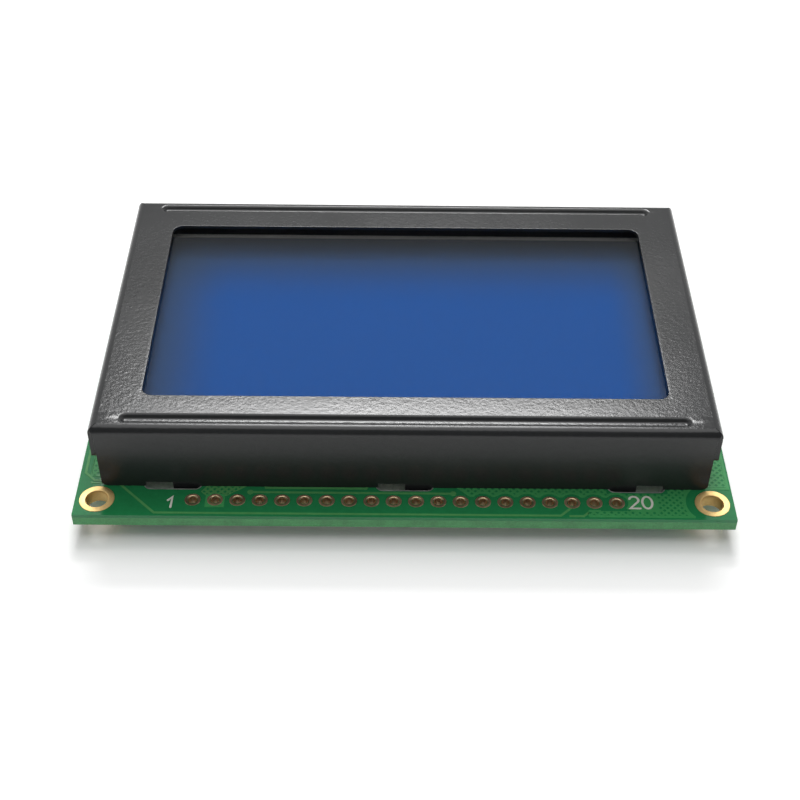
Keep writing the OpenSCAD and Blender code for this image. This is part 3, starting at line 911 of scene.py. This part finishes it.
class LCD_OT_board(bpy.types.Operator):
    """Lacquer on the board and the plating of its holes"""

    bl_idname = "lcd_module.board"
    bl_label = "Board"

    def execute(self, context):
        props = context.scene.lcd_board
        dress("circuit_board", lacquer("solder_mask", props.mask, props.laminate))
        gold = mottled_finish(
            "gold_plating", props.gold, spread=0.10, rough=(0.42, 0.55), grain=2500.0, drift=300.0,
            bump=(0.000006, 4000.0, 1200.0, 0.4), metallic=1.0,
        )
        copper = mottled_finish(
            "copper_plating", props.bare_copper, spread=0.16, rough=(0.26, 0.40), grain=3000.0, drift=400.0,
            bump=(0.000008, 4000.0, 1500.0, 0.4), metallic=0.9,
        )
        corners = [(x, y) for x in (-HOLE_X, HOLE_X) for y in (-HOLE_Y, HOLE_Y)]
        header = [(x, HEADER_Y) for x in HEADER_X]
        for name, places, sizes, material, slot in (
            ("mounting", corners, MOUNTING_HOLE, gold, "gold_plating"),
            ("header", header, HEADER_HOLE, copper, "copper_plating"),
        ):
            bm = bmesh.new()
            for place in places:
                plated_hole(bm, place, *sizes)
            finish_piece(name + "_rings", bm, material, replaced=name + "_hole_rings", sharp=40)
        return {"FINISHED"}


class LCD_OT_tracks(bpy.types.Operator):
    """Copper under the lacquer: tracks, vias and hatched ground on both sides"""

    bl_idname = "lcd_module.tracks"
    bl_label = "Tracks"

    def execute(self, context):
        props = context.scene.lcd_board
        # The copper starts just inside the board, so that it lies tight on it
        self.height = props.copper / MM + SINK
        self.low = DECK - SINK
        self.under_low = UNDERSIDE - props.copper / MM
        copper = lacquer("covered_copper", props.covered_copper, props.laminate)
        # The tracks' lacquer carries a painted highlight for the glint along their edges
        track = lacquer("covered_track", props.covered_track, props.laminate)
        tin = mottled_finish(
            "pad_tin", (0.66, 0.66, 0.64), spread=0.10, rough=(0.25, 0.4), metallic=1.0, bump=TIN_BUMP,
        )
        for name, build, material, slot in (
            ("top_tracks", self.front_tracks, track, "solder_mask"),
            ("pad_block", self.pad_block, copper, "solder_mask"),
            ("header_ground", self.header_ground, copper, "solder_mask"),
            ("margin_ground", self.margins, copper, "solder_mask"),
            ("underside_tracks", self.rear_tracks, copper, "solder_mask"),
            ("underside_ground", self.rear_ground, copper, "solder_mask"),
            ("underside_pads", self.rear_pads, tin, "tinned_ends"),
        ):
            finish_piece(name, build(bmesh.new()), material)
        return {"FINISHED"}

    def top(self, bm, points, width=0.29, over=0.0):
        """A track; where it crosses other copper it stands a little over it."""
        ribbon(bm, points, width, self.low, self.height + over)

    def under(self, bm, points, width=0.25):
        """A track on the underside."""
        ribbon(bm, points, width, self.under_low, self.height)

    def via(self, bm, place, radius):
        """End of a track on the underside."""
        disc(bm, place, radius, self.under_low - OVER, self.height, 12)

    def front_tracks(self, bm):
        """Tracks that show in front of the bezel and beside it."""
        pad_18 = HEADER_X[17]
        vias = [(-17.67, -22.6), (5.52, -22.6)]
        self.top(bm, [(-33.0, -21.2), (-32.7, -21.5), (-28.3, -25.9), (17.6, -25.9), (pad_18 - 0.2, -24.7),
                      (pad_18, -24.4)])
        self.top(bm, vias)
        self.top(bm, [(-16.2, -20.9), (-15.9, -21.9), (-4.4, -21.9), (-4.1, -20.9)])
        self.top(bm, [(18.55, -25.95), (20.2, -25.95), (20.78, -25.4)])
        self.top(bm, [(-36.9, 22.5), (-36.9, -19.7), (-35.7, -20.9), (-33.4, -20.9)], over=OVER)
        self.top(bm, [(-36.1, -21.1), (-35.9, -21.3), (-33.1, -21.3)], 0.22)
        for place in vias:
            disc(bm, place, 0.36, self.low, self.height + OVER)
            disc(bm, place, 0.17, self.low, self.height + 3 * OVER, 16)
        hatch(bm, [(-23.3, -22.6), (-22.6, -23.25), (-20.4, -23.25), (-18.0, -21.6), (-22.7, -21.6)],
              self.low, self.height)
        return bm

    def pad_block(self, bm):
        """Solid copper round the second pad."""
        self.top(bm, [(HEADER_X[1], -25.0), (HEADER_X[1], -23.0)], 2.2, OVER)
        return self.cut_discs(bm, [(HEADER_X[1], HEADER_Y)], 0.9, 32)

    def cut_discs(self, bm, places, radius, segments):
        """Cuts round clearances through copper on the top."""
        cutter = bmesh.new()
        for place in places:
            disc(cutter, place, radius, *CUT, segments)
        return carve(bm, cutter)

    def header_ground(self, bm):
        """Hatched ground along the right half of the header, cut clear of its pads, a slot and a mounting hole."""
        left, right, low, high = 5.1, 33.4, -25.95, -20.6
        pad_high, pad_low = HEADER_Y + 0.8, HEADER_Y - 1.3
        hole = (HOLE_X, -HOLE_Y)
        pads = [(x, HEADER_Y) for x in HEADER_X[12:]]
        hatch(bm, [(left + 5.35, low), (right, low), (right, high), (left, high)], self.low, self.height,
              solid=((25.4, -25.1), (28.7, -22.7)))
        # Neighbouring clearances overlap, so they are cut in two turns
        for some in (pads[0::2], pads[1::2]):
            bm = self.cut_discs(bm, some, CLEAR_R, 24)
        bm = self.cut_discs(bm, [hole], RING_CLEAR_R, 48)
        for corner, opposite in (((left - 1, low - 1), (20.7, pad_high)), ((20.0, pad_low), (25.2, pad_high))):
            cutter = bmesh.new()
            corners = [cutter.verts.new((x, y, CUT[0])) for x, y in box(corner, opposite)]
            raise_faces(cutter, bmesh.ops.contextual_create(cutter, geom=corners)["faces"], CUT[1])
            bm = carve(bm, cutter)
        cutter = bmesh.new()
        ribbon(cutter, [(SLOT_X - 3.5, -SLOT_Y), (SLOT_X + 3.5, -SLOT_Y)], 2.0, *CUT)
        bm = carve(bm, cutter)
        # Solid lines along the clearances
        edge = [(left, high), (left + 2.3, high - 2.3)]
        for place in pads[1:]:
            edge += arc(place, CLEAR_R + BORDER / 2, 140, 40, 8)
        edge += arc(pads[-1], CLEAR_R + BORDER / 2, 30, -40, 5)
        self.top(bm, edge, BORDER, EDGE_OVER)
        self.top(bm, arc(hole, RING_CLEAR_R + BORDER / 2, 224, 130, 16), BORDER, EDGE_OVER)
        self.top(bm, [(20.8, low), (right - 0.6, low)], BORDER, OVER)
        self.top(bm, [(20.8, pad_low), (22.2, pad_low)], BORDER, OVER)
        return bm

    def margins(self, bm):
        """Hatched strips at the ends and along the rear edge."""
        for low, high in (
            ((34.2, -21.3), (37.1, 21.3)), ((-36.3, -20.3), (-34.2, 21.3)), ((-31.6, 22.9), (31.6, 25.9)),
        ):
            hatch(bm, box(low, high), self.low, self.height)
        self.top(bm, [(34.2, -21.5), (37.15, -21.5), (37.15, 21.5), (34.2, 21.5)], 0.3, OVER)
        return bm

    def rear_tracks(self, bm):
        """Tracks on the underside: from the header to the chips and drops, and fans to the glass contacts."""
        left, right, front = DROPS
        for k in range(6):
            self.chip_tracks(bm, HEADER_X[k], -19.2, RESISTOR_X + CHIP_STEP * k, 1, -8.0, left, 205 + 26 * k)
        for k in range(7):
            x = HEADER_X[6 + k]
            meet = on_circle(front, TRACK_MEET, 210 + 20 * k)
            self.under(bm, [(x, HEADER_Y), (x, -14.0 - abs(k - 3) * 0.4), meet])
        for k in range(4):
            self.chip_tracks(
                bm, HEADER_X[13 + k], -21.0 + 0.5 * k, CAPACITOR_X + CHIP_STEP * k, -1, -6.0, right, 225 + 26 * k)
        for k in range(3):
            x, level = HEADER_X[17 + k], CHIP_Y + LEAD_STEP * (k - 1.5)
            turn = 22.8 - 0.5 * k
            self.under(bm, [(x, HEADER_Y), (x, -19.5), (turn, -17.6 + 0.4 * k), (turn, level), (23.2, level)])
        for k in range(6):
            self.under(bm, [(left[0] + 5.0, 3.5 + k), (right[0] - 5.0, 3.5 + k)])
        for middle in (left, right):
            for k in range(22):
                meet = on_circle(middle, FAN_MEET, 150 - 120 * k / 21)
                x = middle[0] + (k - 10.5) * 1.3
                end = (x, 18.6)
                self.under(bm, [meet, (x, 15.2 + 0.15 * abs(k - 10.5)), end], FAN_W)
                self.via(bm, end, 0.3)
        for k in range(14):
            meet = on_circle(front, FAN_MEET, 170 - 160 * k / 13)
            if abs(meet[0]) > 2.6:
                end = (meet[0] * 1.12, 2.2)
                self.under(bm, [meet, end], FAN_W)
                self.via(bm, end, 0.28)
        return bm

    def chip_tracks(self, bm, x, bend_y, chip_x, side, turn_y, drop, angle):
        """Tracks from a header hole to one end of a chip part, and from its other end to a drop."""
        end, start = chip_x + side * CHIP_END, chip_x - side * CHIP_END
        self.under(bm, [(x, HEADER_Y), (x, bend_y), (end, bend_y + abs(end - x)), (end, CHIP_Y)])
        self.under(bm, [(start, CHIP_Y), (start, turn_y), on_circle(drop, TRACK_MEET, angle)])

    def rear_ground(self, bm):
        """Hatched ground along three edges of the underside."""
        for low, high in (
            ((-36.9, -19.5), (-33.6, 21.0)), ((33.6, -19.5), (36.9, 21.0)), ((-31.6, 23.0), (31.6, 25.9)),
        ):
            outline = box(low, high)
            hatch(bm, outline, self.under_low, self.height, 2 * PITCH, 2 * LINE)
            ribbon(bm, outline, BORDER, self.under_low - EDGE_OVER, self.height, closed=True)
        return bm

    def rear_pads(self, bm):
        """Tinned pads under the ends of the chip parts and under the leads."""
        base, height = self.under_low - PAD_OVER, self.height + PAD_OVER
        for middle in CHIP_X:
            for x in (middle - 1.15, middle + 1.15):
                ribbon(bm, [(x - 0.5, CHIP_Y), (x + 0.5, CHIP_Y)], 1.45, base, height)
        low, high = node_box("inverter_leads")
        for k in range(4):
            y = CHIP_Y + LEAD_STEP * (k - 1.5)
            for x, way in ((low.x, 1), (high.x, -1)):
                ribbon(bm, [(x - way * 0.35, y), (x + way * 0.95, y)], 0.62, base, height)
        return bm


class LCD_OT_printing(bpy.types.Operator):
    """Numbers at the ends of the header, rings and boxes printed on the underside, and tin in the slots"""

    bl_idname = "lcd_module.printing"
    bl_label = "Printing"

    def execute(self, context):
        props = context.scene.lcd_board
        ink = mottled_finish(
            "white_ink", props.ink, spread=0.08, rough=(0.45, 0.6), grain=6000.0, drift=1500.0,
            bump=(0.000006, 7000.0, 2500.0, 0.4),
        )
        tin = mottled_finish(
            "slot_tin", props.slot_tin, spread=0.15, rough=(0.4, 0.55), grain=3500.0, drift=600.0, metallic=0.8,
        )
        for name, build, material, slot in (
            ("pin_numbers", self.numbers, ink, "solder_mask"),
            ("drop_rings", self.rings, ink, "solder_mask"),
            ("chip_outlines", self.outlines, ink, "solder_mask"),
            ("slot_plating", self.slots, tin, "tinned_metal"),
        ):
            bm = bmesh.new()
            build(bm)
            finish_piece(name, bm, material)
        return {"FINISHED"}

    def numbers(self, bm):
        """A 1 before the first hole of the header and a 20 after the last."""
        self.stroke(bm, [(-26.92, -23.98), (-26.45, -23.47), (-26.52, -25.05)])
        self.stroke(bm, arc((26.10, -23.38), 0.52, 165, -38, 9) + [(25.58, -24.70), (26.72, -24.70)])
        oval = [(27.60 + 0.56 * x, -23.78 + 0.92 * y) for x, y in arc((0, 0), 1, 0, 345, 23)]
        ribbon(bm, oval, STROKE, *INK, closed=True)

    def stroke(self, bm, points):
        """A pen line with round ends."""
        base, height = INK
        ribbon(bm, points, STROKE, base, height)
        for end in (points[0], points[-1]):
            disc(bm, end, STROKE / 2, base, height - 0.002, 12)

    def rings(self, bm):
        """Rings round the drops."""
        for middle in DROPS:
            ribbon(bm, arc(middle, DROP_RING_R, 0, 352.5, 47), *RING_INK, closed=True)

    def outlines(self, bm):
        """Boxes round the chip parts and the leaded chip."""
        for x in CHIP_X:
            self.outline(bm, x, 1.47, 1.05)
        low, high = node_box("inverter_leads")
        self.outline(bm, (low.x + high.x) / 2, (high.x - low.x) / 2 + 0.7, 2.85)

    def outline(self, bm, x, half_l, half_w):
        """A printed box on the row of chip parts."""
        corners = box((x - half_l, CHIP_Y - half_w), (x + half_l, CHIP_Y + half_w))
        ribbon(bm, corners, *BOX_INK, closed=True)

    def slots(self, bm):
        """Tin on the walls of the slots and round their top."""
        for x in (-SLOT_X, 0, SLOT_X):
            for y in (-SLOT_Y, SLOT_Y):
                for (radius, width), level, height in (
                    (SLOT_WALL, UNDERSIDE - 0.02, DECK - UNDERSIDE + 0.04), (SLOT_LIP, DECK - SINK, SINK + 0.02),
                ):
                    right = arc((x + SLOT_HALF, y), radius, -90, 90, 10)
                    left = arc((x - SLOT_HALF, y), radius, 90, 270, 10)
                    ribbon(bm, right + left, width, level, height, closed=True)


class LCD_OT_backlight(bpy.types.Operator):
    """White tray, sheets, light guide and leds under the glass, and the contact strips"""

    bl_idname = "lcd_module.backlight"
    bl_label = "Backlight"

    def execute(self, context):
        tray_bump, rubber_bump = (0.000008, 5000.0, 700.0, 0.5), (0.00001, 4000.0, 900.0, 0.3)
        # The contact strips are made near black as painted shade, standing for the shadow in the dark band under the
        # window's far edge
        rubber_painted_shade = (0.022, 0.021, 0.021)
        for node, name, colour, spread, rough, bump in (
            ("backlight_frame", "white_plastic", (0.80, 0.80, 0.77), 0.03, (0.4, 0.55), tray_bump),
            ("reflector_sheet", "reflector", (0.86, 0.86, 0.86), 0.02, (0.3, 0.4), None),
            ("light_guide", "clear_acrylic", (0.80, 0.87, 0.90), 0.02, (0.05, 0.1), None),
            ("diffuser_film", "diffuser", (0.84, 0.86, 0.88), 0.02, (0.6, 0.7), None),
            ("led_board", "led_laminate", (0.06, 0.25, 0.12), 0.15, (0.3, 0.4), None),
            ("leds", "led_package", (0.85, 0.78, 0.45), 0.06, (0.15, 0.25), None),
            ("front_contact_strip", "contact_rubber_front", rubber_painted_shade, 0.2, (0.6, 0.75), rubber_bump),
            ("rear_contact_strip", "contact_rubber_rear", rubber_painted_shade, 0.2, (0.6, 0.75), rubber_bump),
        ):
            dress(node, mottled_finish(name, colour, spread, rough, bump=bump))
        return {"FINISHED"}


class LCD_OT_rear_parts(bpy.types.Operator):
    """Resin drops, chip parts, leads and solder on the underside"""

    bl_idname = "lcd_module.rear_parts"
    bl_label = "Rear parts"

    def execute(self, context):
        tin = mottled_finish(
            "tinned_metal", (0.72, 0.72, 0.71), 0.08, (0.25, 0.4), bump=(0.000006, 5000.0, 1500.0, 0.4), metallic=1.0,
        )
        for node in ("backlight_terminals", "resistor_ends", "capacitor_ends", "inverter_leads"):
            dress(node, tin)
        dress("terminal_solder", mottled_finish(
            "solder", (0.68, 0.68, 0.69), 0.10, (0.18, 0.35), bump=TIN_BUMP, metallic=1.0,
        ))
        dress("driver_coatings", mottled_finish(
            "black_resin", (0.012, 0.012, 0.013), 0.25, (0.22, 0.38), grain=900.0, drift=250.0,
            bump=(0.00003, 900.0, 250.0, 0.6),
        ))
        package_bump = (0.00001, 6000.0, 1800.0, 0.3)
        for node, name, colour, spread, rough, bump in (
            ("driver_dies", "silicon", (0.20, 0.21, 0.24), 0.1, (0.1, 0.2), None),
            ("resistor_bodies", "resistor_glaze", (0.025, 0.025, 0.03), 0.2, (0.2, 0.3), None),
            ("capacitor_bodies", "capacitor_ceramic", (0.42, 0.28, 0.17), 0.1, (0.4, 0.55), None),
            ("inverter_body", "moulded_package", (0.028, 0.028, 0.029), 0.2, (0.5, 0.65), package_bump),
        ):
            dress(node, mottled_finish(name, colour, spread, rough, bump=bump))
        return {"FINISHED"}


# Panel and start


class LCD_PT_panel(bpy.types.Panel):
    """Lists the pieces and their settings"""

    bl_idname = "LCD_PT_panel"
    bl_label = "LCD module"
    bl_space_type = "VIEW_3D"
    bl_region_type = "UI"
    bl_category = "LCD module"

    def draw(self, context):
        layout = self.layout
        for operator in OPERATORS:
            layout.operator(operator.bl_idname)
        for name, kind in PROPERTIES:
            settings = layout.box()
            for key in kind.__annotations__:
                settings.prop(getattr(context.scene, name), key)


PROPERTIES = (
    ("lcd_bezel", BezelProperties),
    ("lcd_board", BoardProperties),
    ("lcd_display", DisplayProperties),
    ("lcd_stage", StageProperties),
)
OPERATORS = (
    LCD_OT_stage, LCD_OT_bezel, LCD_OT_display, LCD_OT_board, LCD_OT_tracks, LCD_OT_printing, LCD_OT_backlight,
    LCD_OT_rear_parts,
)


def register():
    for name, kind in PROPERTIES:
        bpy.utils.register_class(kind)
        setattr(bpy.types.Scene, name, PointerProperty(type=kind))
    for kind in OPERATORS + (LCD_PT_panel,):
        bpy.utils.register_class(kind)


def unregister():
    for kind in (LCD_PT_panel,) + OPERATORS[::-1]:
        bpy.utils.unregister_class(kind)
    for name, kind in PROPERTIES[::-1]:
        delattr(bpy.types.Scene, name)
        bpy.utils.unregister_class(kind)


def main():
    register()
    for operator in OPERATORS:
        area, name = operator.bl_idname.split(".")
        getattr(getattr(bpy.ops, area), name)()


if __name__ == "__main__":
    main()
